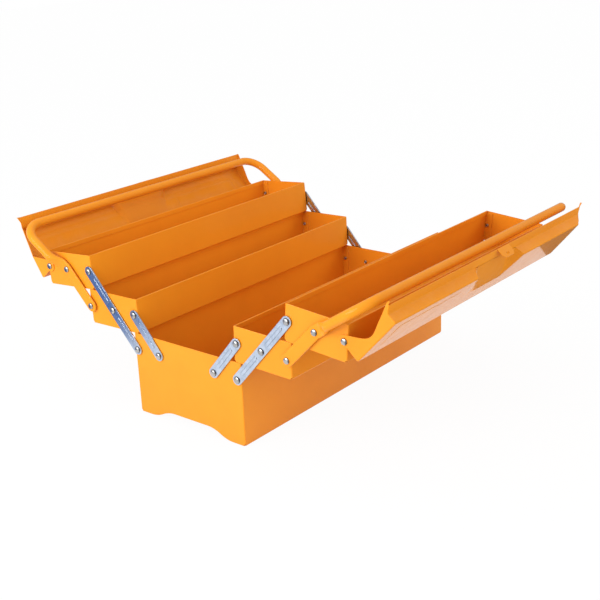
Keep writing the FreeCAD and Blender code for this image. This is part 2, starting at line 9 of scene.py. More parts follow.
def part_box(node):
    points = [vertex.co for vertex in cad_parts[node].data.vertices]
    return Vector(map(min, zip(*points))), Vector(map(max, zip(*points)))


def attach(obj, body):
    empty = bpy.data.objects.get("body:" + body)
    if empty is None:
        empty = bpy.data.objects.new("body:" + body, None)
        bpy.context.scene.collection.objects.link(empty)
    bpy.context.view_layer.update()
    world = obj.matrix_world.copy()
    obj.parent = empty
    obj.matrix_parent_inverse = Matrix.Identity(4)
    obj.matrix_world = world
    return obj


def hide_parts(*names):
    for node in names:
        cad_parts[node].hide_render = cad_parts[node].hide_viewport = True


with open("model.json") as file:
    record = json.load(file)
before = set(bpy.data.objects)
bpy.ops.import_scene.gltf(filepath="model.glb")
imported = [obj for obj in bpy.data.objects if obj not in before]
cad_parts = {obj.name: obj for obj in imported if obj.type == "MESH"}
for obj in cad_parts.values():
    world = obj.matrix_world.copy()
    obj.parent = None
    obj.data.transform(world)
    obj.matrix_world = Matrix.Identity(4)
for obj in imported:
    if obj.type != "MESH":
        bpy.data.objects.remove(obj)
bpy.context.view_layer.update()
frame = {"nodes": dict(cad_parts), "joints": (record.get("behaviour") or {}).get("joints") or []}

MM = 0.001
nodes = frame["nodes"]

# Sizes, in millimetres. Banks are drawn as the front one, and the rear one is turned half round
END_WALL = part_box("base_box")[1].x / MM
LID_OUTER_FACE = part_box("front_lid")[1].x / MM
SHEET = 1.0
LID_TURN = math.radians(132.3)
HEAD_RADIUS = 4.6
BANKS = (("front", 1), ("rear", -1))


def joint_pivot(name):
    """Where a joint of the front bank turns, as (y, z)."""
    for joint in frame["joints"]:
        if joint["name"] == "front_" + name:
            return joint["pos_m"][1] / MM, joint["pos_m"][2] / MM
    raise KeyError(name)


def pivot_inside(name):
    """The pivot that a node of the front bank lies evenly about."""
    low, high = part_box("front_" + name)
    return (low.y + high.y) / (2 * MM), (low.z + high.z) / (2 * MM)


def short_arm_top(handle_end):
    """The highest of the lower tray's rivets, which reach as far past it as past the handle's end."""
    low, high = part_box("front_lower_tray_rivets")
    return (low.y + high.y) / MM - handle_end[0], high.z / MM - HEAD_RADIUS


# A is on the base, B on the lower tray, C on the upper tray, and D is the lid's pin
PIVOT = {
    "A1": joint_pivot("fold"), "A2": joint_pivot("short_arm_turn"),
    "B1": joint_pivot("lower_tray_tilt"), "B3": pivot_inside("lower_tray_spacers"),
    "C1": joint_pivot("upper_tray_tilt"), "C3": pivot_inside("upper_tray_spacers"),
    "D": pivot_inside("lid_rivets"),
}
PIVOT["B2"] = short_arm_top(PIVOT["B3"])


def bank_point(side, x, y, z):
    return (side * x, side * y, z)


def smoothstep(low, high, value):
    t = max(0.0, min(1.0, (value - low) / (high - low)))
    return t * t * (3 - 2 * t)


def soft_min(a, b, k):
    """The smaller of two values, with the change from one to the other rounded over k."""
    return min(a, b) - max(k - abs(a - b), 0.0) ** 2 / (4 * k)


# Node tree helpers
def wire(tree, source, source_name, target, target_name):
    tree.links.new(source.outputs[source_name], target.inputs[target_name])


def shader_group(name, inputs, outputs):
    tree = bpy.data.node_groups.new(name, "ShaderNodeTree")
    for label, kind, value in inputs:
        s = tree.interface.new_socket(name=label, in_out="INPUT", socket_type=kind)
        if value is not None:
            s.default_value = value
    for label, kind in outputs:
        tree.interface.new_socket(name=label, in_out="OUTPUT", socket_type=kind)
    return tree, tree.nodes.new("NodeGroupInput"), tree.nodes.new("NodeGroupOutput")


def math_node(tree, operation, a, b=None, clamp=False):
    n = tree.nodes.new("ShaderNodeMath")
    n.operation = operation
    n.use_clamp = clamp
    for i, v in enumerate((a, b)):
        if v is None:
            continue
        if isinstance(v, (int, float)):
            n.inputs[i].default_value = v
        else:
            tree.links.new(v, n.inputs[i])
    return n.outputs[0]


def noise(tree, vector, scale, detail=3.0, rough=0.5):
    n = tree.nodes.new("ShaderNodeTexNoise")
    n.inputs["Scale"].default_value = scale
    n.inputs["Detail"].default_value = detail
    n.inputs["Roughness"].default_value = rough
    tree.links.new(vector, n.inputs["Vector"])
    return n.outputs["Fac"]


def spread(tree, value, low, high, to_low=0.0, to_high=1.0):
    n = tree.nodes.new("ShaderNodeMapRange")
    n.interpolation_type = "SMOOTHSTEP"
    for label, v in (("From Min", low), ("From Max", high), ("To Min", to_low), ("To Max", to_high)):
        n.inputs[label].default_value = v
    tree.links.new(value, n.inputs["Value"])
    return n.outputs["Result"]


def mix_colour(tree, amount, a, b):
    n = tree.nodes.new("ShaderNodeMix")
    n.data_type = "RGBA"
    for i, v in ((0, amount), (6, a), (7, b)):
        if isinstance(v, tuple):
            n.inputs[i].default_value = v
        else:
            tree.links.new(v, n.inputs[i])
    return n.outputs[2]


# Shared surface effects
def make_stoved_paint():
    tree, gin, gout = shader_group(
        "stoved_paint",
        [("Place", "NodeSocketVector", None), ("Paint", "NodeSocketColor", (0.9, 0.25, 0.02, 1)),
         ("Thin Paint", "NodeSocketColor", (0.8, 0.2, 0.02, 1)), ("Cloudiness", "NodeSocketFloat", 0.5),
         ("Peel", "NodeSocketFloat", 1.0), ("Gloss", "NodeSocketFloat", 0.3)],
        [("Colour", "NodeSocketColor"), ("Roughness", "NodeSocketFloat"), ("Height", "NodeSocketFloat")])
    place = gin.outputs["Place"]
    cloud = spread(tree, noise(tree, place, 14.0, 4.0, 0.55), 0.35, 0.7)
    amount = math_node(tree, "MULTIPLY", cloud, gin.outputs["Cloudiness"])
    colour = mix_colour(tree, amount, gin.outputs["Paint"], gin.outputs["Thin Paint"])
    speck = spread(tree, noise(tree, place, 900.0, 2.0, 0.6), 0.68, 0.8, 0.0, 0.35)
    colour = mix_colour(tree, speck, colour, gin.outputs["Thin Paint"])
    tree.links.new(colour, gout.inputs["Colour"])
    patch = spread(tree, noise(tree, place, 60.0, 3.0, 0.6), 0.3, 0.75, 0.0, 0.12)
    tree.links.new(math_node(tree, "ADD", patch, gin.outputs["Gloss"]), gout.inputs["Roughness"])
    peel = math_node(tree, "MULTIPLY", noise(tree, place, 480.0, 2.0, 0.5), 0.5)
    wave = math_node(tree, "MULTIPLY", noise(tree, place, 45.0, 1.0, 0.4), 1.2)
    height = math_node(tree, "ADD", peel, wave)
    tree.links.new(math_node(tree, "MULTIPLY", height, gin.outputs["Peel"]), gout.inputs["Height"])
    return tree


# Pale edge mask: partly rubbed wear, partly painted highlight along rims and hems, where the rounded normal
# turns away from the facet
def make_edge_wear_and_highlight():
    tree, gin, gout = shader_group(
        "edge_wear_and_highlight",
        [("Place", "NodeSocketVector", None), ("Rounded", "NodeSocketVector", None),
         ("Facet", "NodeSocketVector", None), ("Reach", "NodeSocketFloat", 1.0)],
        [("Mask", "NodeSocketFloat")])
    dot = tree.nodes.new("ShaderNodeVectorMath")
    dot.operation = "DOT_PRODUCT"
    wire(tree, gin, "Rounded", dot, 0)
    wire(tree, gin, "Facet", dot, 1)
    turned = math_node(tree, "SUBTRACT", 1.0, dot.outputs["Value"], True)
    turned = spread(tree, turned, 0.01, 0.16)
    broken = spread(tree, noise(tree, gin.outputs["Place"], 170.0, 4.0, 0.65), 0.42, 0.66)
    worn_and_highlit = math_node(tree, "MULTIPLY", turned, broken)
    tree.links.new(math_node(tree, "MULTIPLY", worn_and_highlit, gin.outputs["Reach"], True), gout.inputs["Mask"])
    return tree


def make_settled_dust():
    tree, gin, gout = shader_group(
        "settled_dust",
        [("Place", "NodeSocketVector", None), ("Facing", "NodeSocketVector", None),
         ("Amount", "NodeSocketFloat", 0.15)],
        [("Mask", "NodeSocketFloat")])
    split = tree.nodes.new("ShaderNodeSeparateXYZ")
    wire(tree, gin, "Facing", split, "Vector")
    up = spread(tree, split.outputs["Z"], 0.35, 0.95)
    grain = spread(tree, noise(tree, gin.outputs["Place"], 34.0, 6.0, 0.7), 0.4, 0.72)
    mask = math_node(tree, "MULTIPLY", up, grain)
    tree.links.new(math_node(tree, "MULTIPLY", mask, gin.outputs["Amount"], True), gout.inputs["Mask"])
    return tree


def make_drawn_zinc():
    tree, gin, gout = shader_group(
        "drawn_zinc",
        [("Place", "NodeSocketVector", None), ("Bright", "NodeSocketColor", (0.7, 0.78, 0.9, 1)),
         ("Dull", "NodeSocketColor", (0.45, 0.5, 0.58, 1)), ("Grain Scale", "NodeSocketFloat", 1.0)],
        [("Colour", "NodeSocketColor"), ("Roughness", "NodeSocketFloat"), ("Height", "NodeSocketFloat")])
    stretch = tree.nodes.new("ShaderNodeMapping")
    stretch.inputs["Rotation"].default_value = (math.radians(41.5), 0, 0)
    stretch.inputs["Scale"].default_value = (40.0, 900.0, 40.0)
    wire(tree, gin, "Place", stretch, "Vector")
    lines = noise(tree, stretch.outputs["Vector"], 1.0, 3.0, 0.6)
    cloud = spread(tree, noise(tree, gin.outputs["Place"], 120.0, 5.0, 0.65), 0.35, 0.7)
    blend = math_node(tree, "MULTIPLY", cloud, 0.6)
    colour = mix_colour(tree, blend, gin.outputs["Bright"], gin.outputs["Dull"])
    tree.links.new(colour, gout.inputs["Colour"])
    rough = math_node(tree, "ADD", math_node(tree, "MULTIPLY", cloud, 0.14), 0.2)
    rough = math_node(tree, "ADD", rough, math_node(tree, "MULTIPLY", lines, 0.1))
    tree.links.new(rough, gout.inputs["Roughness"])
    height = math_node(tree, "MULTIPLY", lines, gin.outputs["Grain Scale"])
    tree.links.new(height, gout.inputs["Height"])
    return tree


stoved_paint = make_stoved_paint()
edge_wear_and_highlight = make_edge_wear_and_highlight()
settled_dust = make_settled_dust()
drawn_zinc = make_drawn_zinc()


def use_group(tree, group, **values):
    n = tree.nodes.new("ShaderNodeGroup")
    n.node_tree = group
    for label, v in values.items():
        sock = n.inputs[label.replace("_", " ")]
        if isinstance(v, bpy.types.NodeSocket):
            tree.links.new(v, sock)
        else:
            sock.default_value = v
    return n


def new_material(name):
    m = bpy.data.materials.new(name)
    m.use_nodes = True
    tree = m.node_tree
    place = tree.nodes.new("ShaderNodeTexCoord").outputs["Object"]
    return m, tree, tree.nodes["Principled BSDF"], place


def bump_from(tree, height, depth, strength, normal=None):
    b = tree.nodes.new("ShaderNodeBump")
    b.inputs["Strength"].default_value = strength
    b.inputs["Distance"].default_value = depth
    tree.links.new(height, b.inputs["Height"])
    if normal is not None:
        tree.links.new(normal, b.inputs["Normal"])
    return b.outputs["Normal"]


# Materials
PAINT = (0.80, 0.28, 0.016, 1)
PAINT_THIN = (0.75, 0.25, 0.015, 1)
PRIMER_AND_HIGHLIGHT = (0.98, 0.60, 0.36, 1)
DUST = (0.86, 0.55, 0.32, 1)
# Painted shade: a near-black put into the corners and creases of plated metal, out to the reach given in
# millimetres
PAINTED_CREASE_SHADE = (0.06, 0.07, 0.12, 1)
CREASE_SHADE_REACH = 2.2
PEEL_DEPTH, GRAIN_DEPTH = 0.06, 0.02


def orange_enamel(name, softened, edge_wear_and_highlight_reach, dust_amount):
    """Clear-coated orange paint, with pale edges that are partly rubbed-through wear and partly painted
    highlight, and a little dust on level faces.
    """
    m, tree, shader, place = new_material(name)
    facet = tree.nodes.new("ShaderNodeNewGeometry")
    paint = use_group(tree, stoved_paint, Place=place, Paint=PAINT, Thin_Paint=PAINT_THIN,
                      Cloudiness=0.55, Peel=1.0, Gloss=0.33)
    soft = tree.nodes.new("ShaderNodeBevel")
    soft.samples = 4
    soft.inputs["Radius"].default_value = softened * MM
    edge = use_group(tree, edge_wear_and_highlight, Place=place, Rounded=soft.outputs["Normal"],
                     Facet=facet.outputs["True Normal"], Reach=edge_wear_and_highlight_reach)
    dust = use_group(tree, settled_dust, Place=place, Facing=facet.outputs["Normal"],
                     Amount=dust_amount)
    # Pale primer on the edges stands partly for wear and partly for a painted highlight along the rims
    colour = mix_colour(tree, edge.outputs["Mask"], paint.outputs["Colour"], PRIMER_AND_HIGHLIGHT)
    colour = mix_colour(tree, dust.outputs["Mask"], colour, DUST)
    tree.links.new(colour, shader.inputs["Base Color"])
    rough = math_node(tree, "ADD", paint.outputs["Roughness"],
                      math_node(tree, "MULTIPLY", dust.outputs["Mask"], 0.5), True)
    tree.links.new(rough, shader.inputs["Roughness"])
    normal = bump_from(tree, paint.outputs["Height"], PEEL_DEPTH * MM, 0.35, soft.outputs["Normal"])
    tree.links.new(normal, shader.inputs["Normal"])
    shader.inputs["Specular IOR Level"].default_value = 0.05
    shader.inputs["Coat Weight"].default_value = 0.6
    shader.inputs["Coat Roughness"].default_value = 0.07
    shader.inputs["Coat IOR"].default_value = 1.3
    return m


def zinc(name, bright, dull, grain):
    """Plated metal with a drawn grain, and painted shade darkening its corners, creases and the rings round
    rivet heads.
    """
    m, tree, shader, place = new_material(name)
    skin = use_group(tree, drawn_zinc, Place=place, Bright=bright, Dull=dull, Grain_Scale=grain)
    # Painted shade: ambient occlusion darkens rib feet, creases and rings round rivet heads towards this
    # near-black
    corner = tree.nodes.new("ShaderNodeAmbientOcclusion")
    corner.samples = 8
    corner.inputs["Distance"].default_value = CREASE_SHADE_REACH * MM
    clear_of_painted_shade = spread(tree, corner.outputs["AO"], 0.5, 0.97)
    colour = mix_colour(tree, clear_of_painted_shade, PAINTED_CREASE_SHADE, skin.outputs["Colour"])
    tree.links.new(colour, shader.inputs["Base Color"])
    tree.links.new(skin.outputs["Roughness"], shader.inputs["Roughness"])
    tree.links.new(bump_from(tree, skin.outputs["Height"], GRAIN_DEPTH * MM, 0.3), shader.inputs["Normal"])
    shader.inputs["Metallic"].default_value = 1.0
    return m


enamel_box = orange_enamel("orange_enamel_box", 0.5, 0.5, 0.12)
enamel_lid = orange_enamel("orange_enamel_lid", 0.3, 0.35, 0.08)
enamel_tube = orange_enamel("orange_enamel_tube", 0.2, 0.0, 0.05)
zinc_arm = zinc("zinc_plated_arm", (0.66, 0.75, 0.9, 1), (0.42, 0.5, 0.62, 1), 1.0)
steel_rivet = zinc("bright_rivet_steel", (0.6, 0.59, 0.58, 1), (0.34, 0.32, 0.3, 1), 0.3)
steel_washer = zinc("washer_steel", (0.62, 0.64, 0.68, 1), (0.4, 0.42, 0.45, 1), 0.6)


# Mesh helpers
def plain_object(name, verts, faces):
    mesh = bpy.data.meshes.new(name)
    mesh.from_pydata([(x * MM, y * MM, z * MM) for x, y, z in verts], [], faces)
    mesh.validate()
    obj = bpy.data.objects.new(name, mesh)
    bpy.context.scene.collection.objects.link(obj)
    return obj


def settle(obj):
    """Turns the modifiers into plain mesh."""
    graph = bpy.context.evaluated_depsgraph_get()
    graph.update()
    mesh = bpy.data.meshes.new_from_object(obj.evaluated_get(graph), depsgraph=graph)
    mesh.name = obj.name
    obj.modifiers.clear()
    obj.data = mesh


def join_close(obj, distance):
    bm = bmesh.new()
    bm.from_mesh(obj.data)
    bmesh.ops.remove_doubles(bm, verts=bm.verts, dist=distance * MM)
    bmesh.ops.dissolve_degenerate(bm, edges=bm.edges, dist=distance * MM)
    bm.to_mesh(obj.data)
    bm.free()


def soften(obj, width, angle, segments=2):
    b = obj.modifiers.new("soften", "BEVEL")
    b.width = width * MM
    b.segments = segments
    b.limit_method = "ANGLE"
    b.angle_limit = math.radians(angle)
    b.use_clamp_overlap = False


def shade_smooth(obj, angle):
    for p in obj.data.polygons:
        p.use_smooth = True
    obj.data.set_sharp_from_angle(angle=math.radians(angle))


def even_shade(obj, angle):
    shade_smooth(obj, angle)
    w = obj.modifiers.new("even", "WEIGHTED_NORMAL")
    w.keep_sharp = True
    w.weight = 80
    settle(obj)


def finish_piece(obj, material, slot, body, *replaced):
    obj.data.materials.clear()
    obj.data.materials.append(material)
    if replaced:
        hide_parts(*replaced)
    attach(obj, body)


# Rivets, placed by geometry nodes
ROLL_SINK = 0.4
HEAD_SIDES, SHANK_SIDES, ROLL_SIDES = 28, 20, 24


def named(tree, name):
    n = tree.nodes.new("GeometryNodeInputNamedAttribute")
    n.data_type = "FLOAT"
    n.inputs["Name"].default_value = name
    return n.outputs["Attribute"]


def vector_of(tree, x, y, z):
    n = tree.nodes.new("ShaderNodeCombineXYZ")
    for i, v in enumerate((x, y, z)):
        if isinstance(v, (int, float)):
            n.inputs[i].default_value = v
        else:
            tree.links.new(v, n.inputs[i])
    return n.outputs[0]


def turned_to_wall(tree, way):
    n = tree.nodes.new("FunctionNodeEulerToRotation")
    tree.links.new(vector_of(tree, 0.0, math_node(tree, "MULTIPLY", way, math.pi / 2), 0.0), n.inputs[0])
    return n.outputs[0]


def set_on(tree, points, thing, shift_x, turn, stretch=None):
    """The same thing on each point, moved across the wall and turned to face out of it."""
    move = tree.nodes.new("GeometryNodeSetPosition")
    tree.links.new(points, move.inputs["Geometry"])
    tree.links.new(vector_of(tree, shift_x, 0.0, 0.0), move.inputs["Offset"])
    put = tree.nodes.new("GeometryNodeInstanceOnPoints")
    tree.links.new(move.outputs["Geometry"], put.inputs["Points"])
    tree.links.new(thing, put.inputs["Instance"])
    tree.links.new(turn, put.inputs["Rotation"])
    if stretch is not None:
        tree.links.new(vector_of(tree, 1.0, 1.0, stretch), put.inputs["Scale"])
    return put.outputs["Instances"]


def make_rivet_setter():
    tree = bpy.data.node_groups.new("set_rivets", "GeometryNodeTree")
    face = tree.interface
    face.new_socket(name="Holes", in_out="INPUT", socket_type="NodeSocketGeometry")
    for label, value in (("Head Radius", HEAD_RADIUS), ("Head Height", 2.3), ("Head Rim", 0.5),
                         ("Shank Radius", 2.5), ("Roll Radius", 2.05), ("Roll Thickness", 1.05)):
        s = face.new_socket(name=label, in_out="INPUT", socket_type="NodeSocketFloat")
        s.default_value = value * MM
    face.new_socket(name="Metal", in_out="INPUT", socket_type="NodeSocketMaterial")
    face.new_socket(name="Rivets", in_out="OUTPUT", socket_type="NodeSocketGeometry")
    gin = tree.nodes.new("NodeGroupInput")
    gout = tree.nodes.new("NodeGroupOutput")
    seat, grip, way = named(tree, "seat"), named(tree, "grip"), named(tree, "way")
    turn = turned_to_wall(tree, way)
    points = gin.outputs["Holes"]
    # domed head
    ball = tree.nodes.new("GeometryNodeMeshUVSphere")
    ball.inputs["Segments"].default_value = HEAD_SIDES
    ball.inputs["Rings"].default_value = 16
    ball.inputs["Radius"].default_value = 1.0
    at = tree.nodes.new("GeometryNodeInputPosition")
    split = tree.nodes.new("ShaderNodeSeparateXYZ")
    tree.links.new(at.outputs[0], split.inputs[0])
    rise = math_node(tree, "SUBTRACT", gin.outputs["Head Height"], gin.outputs["Head Rim"])
    dome = math_node(tree, "MULTIPLY_ADD", split.outputs["Z"], rise)
    tree.links.new(gin.outputs["Head Rim"], dome.node.inputs[2])
    above = math_node(tree, "GREATER_THAN", split.outputs["Z"], -0.01)
    shape = tree.nodes.new("GeometryNodeSetPosition")
    tree.links.new(ball.outputs["Mesh"], shape.inputs["Geometry"])
    radius = gin.outputs["Head Radius"]
    wide, deep = (math_node(tree, "MULTIPLY", split.outputs[axis], radius) for axis in "XY")
    moved = vector_of(tree, wide, deep, math_node(tree, "MULTIPLY", dome, above))
    tree.links.new(moved, shape.inputs["Position"])
    heads = set_on(tree, points, shape.outputs["Geometry"], math_node(tree, "MULTIPLY", seat, way), turn)
    # shank
    rod = tree.nodes.new("GeometryNodeMeshCylinder")
    rod.inputs["Vertices"].default_value = SHANK_SIDES
    rod.inputs["Depth"].default_value = 1.0
    tree.links.new(gin.outputs["Shank Radius"], rod.inputs["Radius"])
    middle = math_node(tree, "MULTIPLY", math_node(tree, "SUBTRACT", seat, grip), 0.5)
    middle = math_node(tree, "MULTIPLY", middle, way)
    shanks = set_on(tree, points, rod.outputs["Mesh"], middle, turn, math_node(tree, "ADD", seat, grip))
    # rolled tail with a hollow middle
    ring = tree.nodes.new("GeometryNodeCurvePrimitiveCircle")
    ring.inputs["Resolution"].default_value = ROLL_SIDES
    tree.links.new(gin.outputs["Roll Radius"], ring.inputs["Radius"])
    wire_round = tree.nodes.new("GeometryNodeCurvePrimitiveCircle")
    wire_round.inputs["Resolution"].default_value = ROLL_SIDES // 2
    tree.links.new(gin.outputs["Roll Thickness"], wire_round.inputs["Radius"])
    roll = tree.nodes.new("GeometryNodeCurveToMesh")
    tree.links.new(ring.outputs["Curve"], roll.inputs["Curve"])
    tree.links.new(wire_round.outputs["Curve"], roll.inputs["Profile Curve"])
    inward = math_node(tree, "MULTIPLY", math_node(tree, "ADD", grip, ROLL_SINK * MM), way)
    rolls = set_on(tree, points, roll.outputs["Mesh"], math_node(tree, "MULTIPLY", inward, -1.0), turn)
    join = tree.nodes.new("GeometryNodeJoinGeometry")
    for g in (heads, shanks, rolls):
        tree.links.new(g, join.inputs[0])
    real = tree.nodes.new("GeometryNodeRealizeInstances")
    paint = tree.nodes.new("GeometryNodeSetMaterial")
    tree.links.new(join.outputs[0], real.inputs[0])
    tree.links.new(real.outputs[0], paint.inputs["Geometry"])
    tree.links.new(gin.outputs["Metal"], paint.inputs["Material"])
    tree.links.new(paint.outputs[0], gout.inputs[0])
    return tree


def set_inputs(modifier, tree, values):
    for item in tree.interface.items_tree:
        if item.in_out == "INPUT" and item.name in values:
            modifier[item.identifier] = values[item.name]


rivet_setter = make_rivet_setter()


def rivet_row(name, side_signs, jobs):
    """Points on both end walls, each with the seat and grip of its rivet."""
    spots, seats, grips, ways = [], [], [], []
    for bank in side_signs:
        for way in (-1, 1):
            for pivot, seat, grip in jobs:
                y, z = PIVOT[pivot]
                spots.append((way * END_WALL, bank * y, z))
                seats.append(seat * MM)
                grips.append(grip * MM)
                ways.append(float(way))
    obj = plain_object(name, spots, [])
    for label, values in (("seat", seats), ("grip", grips), ("way", ways)):
        obj.data.attributes.new(label, "FLOAT", "POINT").data.foreach_set("value", values)
    m = obj.modifiers.new("rivets", "NODES")
    m.node_group = rivet_setter
    set_inputs(m, rivet_setter, {"Metal": steel_rivet})
    settle(obj)
    shade_smooth(obj, 40)
    return obj


# How far out a head sits, on an arm, on the handle's flat and on the lid, and how far in the tail reaches
ARM_SEAT, FLAT_SEAT, LID_SEAT = 2.6, 4.9, 1.6
ONE_WALL, TWO_WALLS = SHEET, 2 * SHEET
base_set = rivet_row("corner_rivets", (1, -1), [("A1", ARM_SEAT, TWO_WALLS), ("A2", ARM_SEAT, ONE_WALL)])
finish_piece(base_set, steel_rivet, "rivet_steel", "base", "base_rivets")
for bank, sign in BANKS:
    low = rivet_row(bank + "_lower_tray_pins", (sign,),
                    [("B1", ARM_SEAT, ONE_WALL), ("B2", ARM_SEAT, TWO_WALLS), ("B3", FLAT_SEAT, TWO_WALLS)])
    finish_piece(low, steel_rivet, "rivet_steel", bank + "_lower_tray_body", bank + "_lower_tray_rivets")
    top = rivet_row(bank + "_upper_tray_pins", (sign,),
                    [("C1", ARM_SEAT, TWO_WALLS), ("C3", FLAT_SEAT, ONE_WALL)])
    finish_piece(top, steel_rivet, "rivet_steel", bank + "_upper_tray_body", bank + "_upper_tray_rivets")
    pins = rivet_row(bank + "_lid_pins_pair", (sign,), [("D", LID_SEAT, TWO_WALLS)])
    finish_piece(pins, steel_rivet, "rivet_steel", bank + "_lid_pins", bank + "_lid_rivets")


# Arms: the CAD pressing with softened edges
def softened_arm(node):
    mesh = nodes[node].data.copy()
    mesh.name = node + "_pressed"
    obj = bpy.data.objects.new(node + "_pressed", mesh)
    bpy.context.scene.collection.objects.link(obj)
    if mesh.has_custom_normals:
        mesh.attributes.remove(mesh.attributes["custom_normal"])
    bm = bmesh.new()
    bm.from_mesh(mesh)
    bmesh.ops.remove_doubles(bm, verts=bm.verts, dist=0.01 * MM)
    bmesh.ops.dissolve_limit(bm, angle_limit=math.radians(0.5), verts=bm.verts, edges=bm.edges)
    bmesh.ops.recalc_face_normals(bm, faces=bm.faces)
    bm.to_mesh(mesh)
    bm.free()
    soften(obj, 0.28, 40, 3)
    settle(obj)
    even_shade(obj, 35)
    return obj


for bank, _ in BANKS:
    for kind in ("long", "short"):
        for end in ("left", "right"):
            node = bank + "_" + kind + "_arm_" + end
            finish_piece(softened_arm(node), zinc_arm, "zinc_arms", bank + "_" + kind + "_arms", node)


# Handle: one tube, flattened at its ends
TUBE_HALF = 6.5
FLAT_ACROSS, FLAT_THIN = 9.0, 1.5
FLAT_GAP, TUBE_GAP = 1.6, 12.0
FLAT_X = END_WALL + FLAT_GAP + FLAT_THIN
TUBE_X = END_WALL + TUBE_GAP
TUBE_BEND = 30.0
HANDLE_REACH = 97.28
HANDLE_LEAN = math.radians(32.92)
NECK_FROM, NECK_TO = 9.0, 33.0
PIVOT_SPAN = 6.0
END_STEPS = (8.96, 8.8, 8.4, 7.7, 6.8, 5.6, 4.0, 2.0, 0.0)
RING_CORNER = 9


def tube_ring(centre, across, thick, half_across, half_thick):
    """Outline of the tube at one station: a rounded rectangle, round where both halves are alike."""
    r = min(half_across, half_thick)
    points = []
    for quarter in range(4):
        for i in range(RING_CORNER):
            a = math.pi / 2 * (quarter + (i + 0.5) / RING_CORNER)
            ca, sa = math.cos(a), math.sin(a)
            u = math.copysign(half_across - r, ca) + r * ca
            v = math.copysign(half_thick - r, sa) + r * sa
            points.append(centre + across * u + thick * v)
    return points


def handle_stations():
    """Half of the handle from its lower end to the middle of the bar, left side."""
    b3, c3 = Vector((0, *PIVOT["B3"])), Vector((0, *PIVOT["C3"]))
    link = (c3 - b3).normalized()
    reach = Vector((0, -math.cos(HANDLE_LEAN), math.sin(HANDLE_LEAN)))
    side = Vector((1, 0, 0))
    out = []

    def station(point, x, along, thick, a, b):
        out.append((Vector((-x, point.y, point.z)), thick.cross(along).normalized(), thick, a, b))

    for d in END_STEPS:
        a = math.sqrt(FLAT_ACROSS ** 2 - d * d)
        station(b3 - link * d, FLAT_X, link, side, a, min(FLAT_THIN, a))
    span = (c3 - b3).length
    for i in range(1, 12):
        station(b3 + link * (span * i / 12), FLAT_X, link, side, FLAT_ACROSS, FLAT_THIN)
    for i in range(7):
        t = i / 6
        way = link.lerp(reach, t).normalized()
        station(c3 + way * (t - 0.5) * PIVOT_SPAN, FLAT_X, way, side, FLAT_ACROSS, FLAT_THIN)
    for i in range(16):
        k = PIVOT_SPAN + (NECK_TO - PIVOT_SPAN) * i / 15
        t = smoothstep(NECK_FROM, NECK_TO, k)
        a = FLAT_ACROSS + (TUBE_HALF - FLAT_ACROSS) * t
        b = FLAT_THIN + (TUBE_HALF - FLAT_THIN) * smoothstep(NECK_FROM - 1, NECK_TO - 2, k)
        x = FLAT_X + (TUBE_X - FLAT_X) * t
        station(c3 + reach * k, x, reach, side, a, b)
    straight_end = HANDLE_REACH - TUBE_BEND
    for i in range(1, 8):
        k = NECK_TO + (straight_end - NECK_TO) * i / 7
        station(c3 + reach * k, TUBE_X, reach, side, TUBE_HALF, TUBE_HALF)
    for i in range(1, 15):
        a = math.pi / 2 * i / 14
        k = straight_end + TUBE_BEND * math.sin(a)
        x = TUBE_X - TUBE_BEND * (1 - math.cos(a))
        along = (reach * math.cos(a) + side * math.sin(a)).normalized()
        thick = (side * math.cos(a) - reach * math.sin(a)).normalized()
        station(c3 + reach * k, x, along, thick, TUBE_HALF, TUBE_HALF)
    for i in range(1, 11):
        x = (TUBE_X - TUBE_BEND) * (1 - i / 10)
        station(c3 + reach * HANDLE_REACH, x, side, -reach, TUBE_HALF, TUBE_HALF)
    return out


def bent_handle(bank, sign):
    rings = [tube_ring(*s) for s in handle_stations()]
    rings += [[Vector((-p.x, p.y, p.z)) for p in ring] for ring in rings[-2::-1]]
    n = RING_CORNER * 4
    verts = [bank_point(sign, p.x, p.y, p.z) for ring in rings for p in ring]
    faces = []
    for i in range(len(rings) - 1):
        for j in range(n):
            a, b = i * n + j, i * n + (j + 1) % n
            faces.append((a, a + n, b + n, b))
    faces.append(tuple(range(n)))
    last = (len(rings) - 1) * n
    faces.append(tuple(last + j for j in reversed(range(n))))
    obj = plain_object(bank + "_handle_tube", verts, faces)
    bm = bmesh.new()
    bm.from_mesh(obj.data)
    bmesh.ops.recalc_face_normals(bm, faces=bm.faces)
    bm.to_mesh(obj.data)
    bm.free()
    shade_smooth(obj, 50)
    return obj


for bank, sign in BANKS:
    tube = bent_handle(bank, sign)
    finish_piece(tube, enamel_tube, "orange_enamel", bank + "_handle_body", bank + "_handle")


# Lid: one pressed sheet. From its pin, u runs across the lid to the ridge and w out of the roof
OUTER_U, SKIRT_W = -3.8, 9.0
ROOF_W, RIDGE_U = 29.0, 78.5
STEP_U, STEP_W = 78.0, 14.8
FLANGE_TIP = {"front": (87.7, 8.7), "rear": (91.6, 6.2)}
BEND, BEND_SMALL = 2.6, 1.6
END_BEND = 1.5
RIDGE_SET_IN, FLANGE_SET_IN = 24.0, 5.5
# Cheek of the left end, ear of the right one, and the horns
EAR_RADIUS = 9.0
EAR_BACK = 160.0
EAR_TOP = (32.0, 22.8)
CHEEK_EDGE = [(33.0, 18.1), (62.0, 12.4), (85.0, 5.0)]
HORN, HORN_BACK, HORN_FOOT = (92.0, 6.0), (90.4, 4.6), (83.0, 9.8)
HORN_INSET, HORN_FOOT_INSET = 0.3, 4.8
# Finger recess: half widths at its far end and at the ridge
SCOOP_FAR_U = 32.0
SCOOP_LEFT, SCOOP_RIGHT = (44.0, 61.0), (47.0, 58.0)
SCOOP_WALL, SCOOP_WALL_ROUND = 6.5, 0.2
SCOOP_RAMP_POWER = 1.2
SCOOP_DISH_POWERS = (2.0, 14.0)
# Raised field
FIELD_X, FIELD_U = (-222.0, -78.0), (14.0, 60.0)
FIELD_RAISE, FIELD_CORNER = {"front": 0.3, "rear": 0.8}, 8.0
FIELD_SLOPE = (-1.6, 1.2)
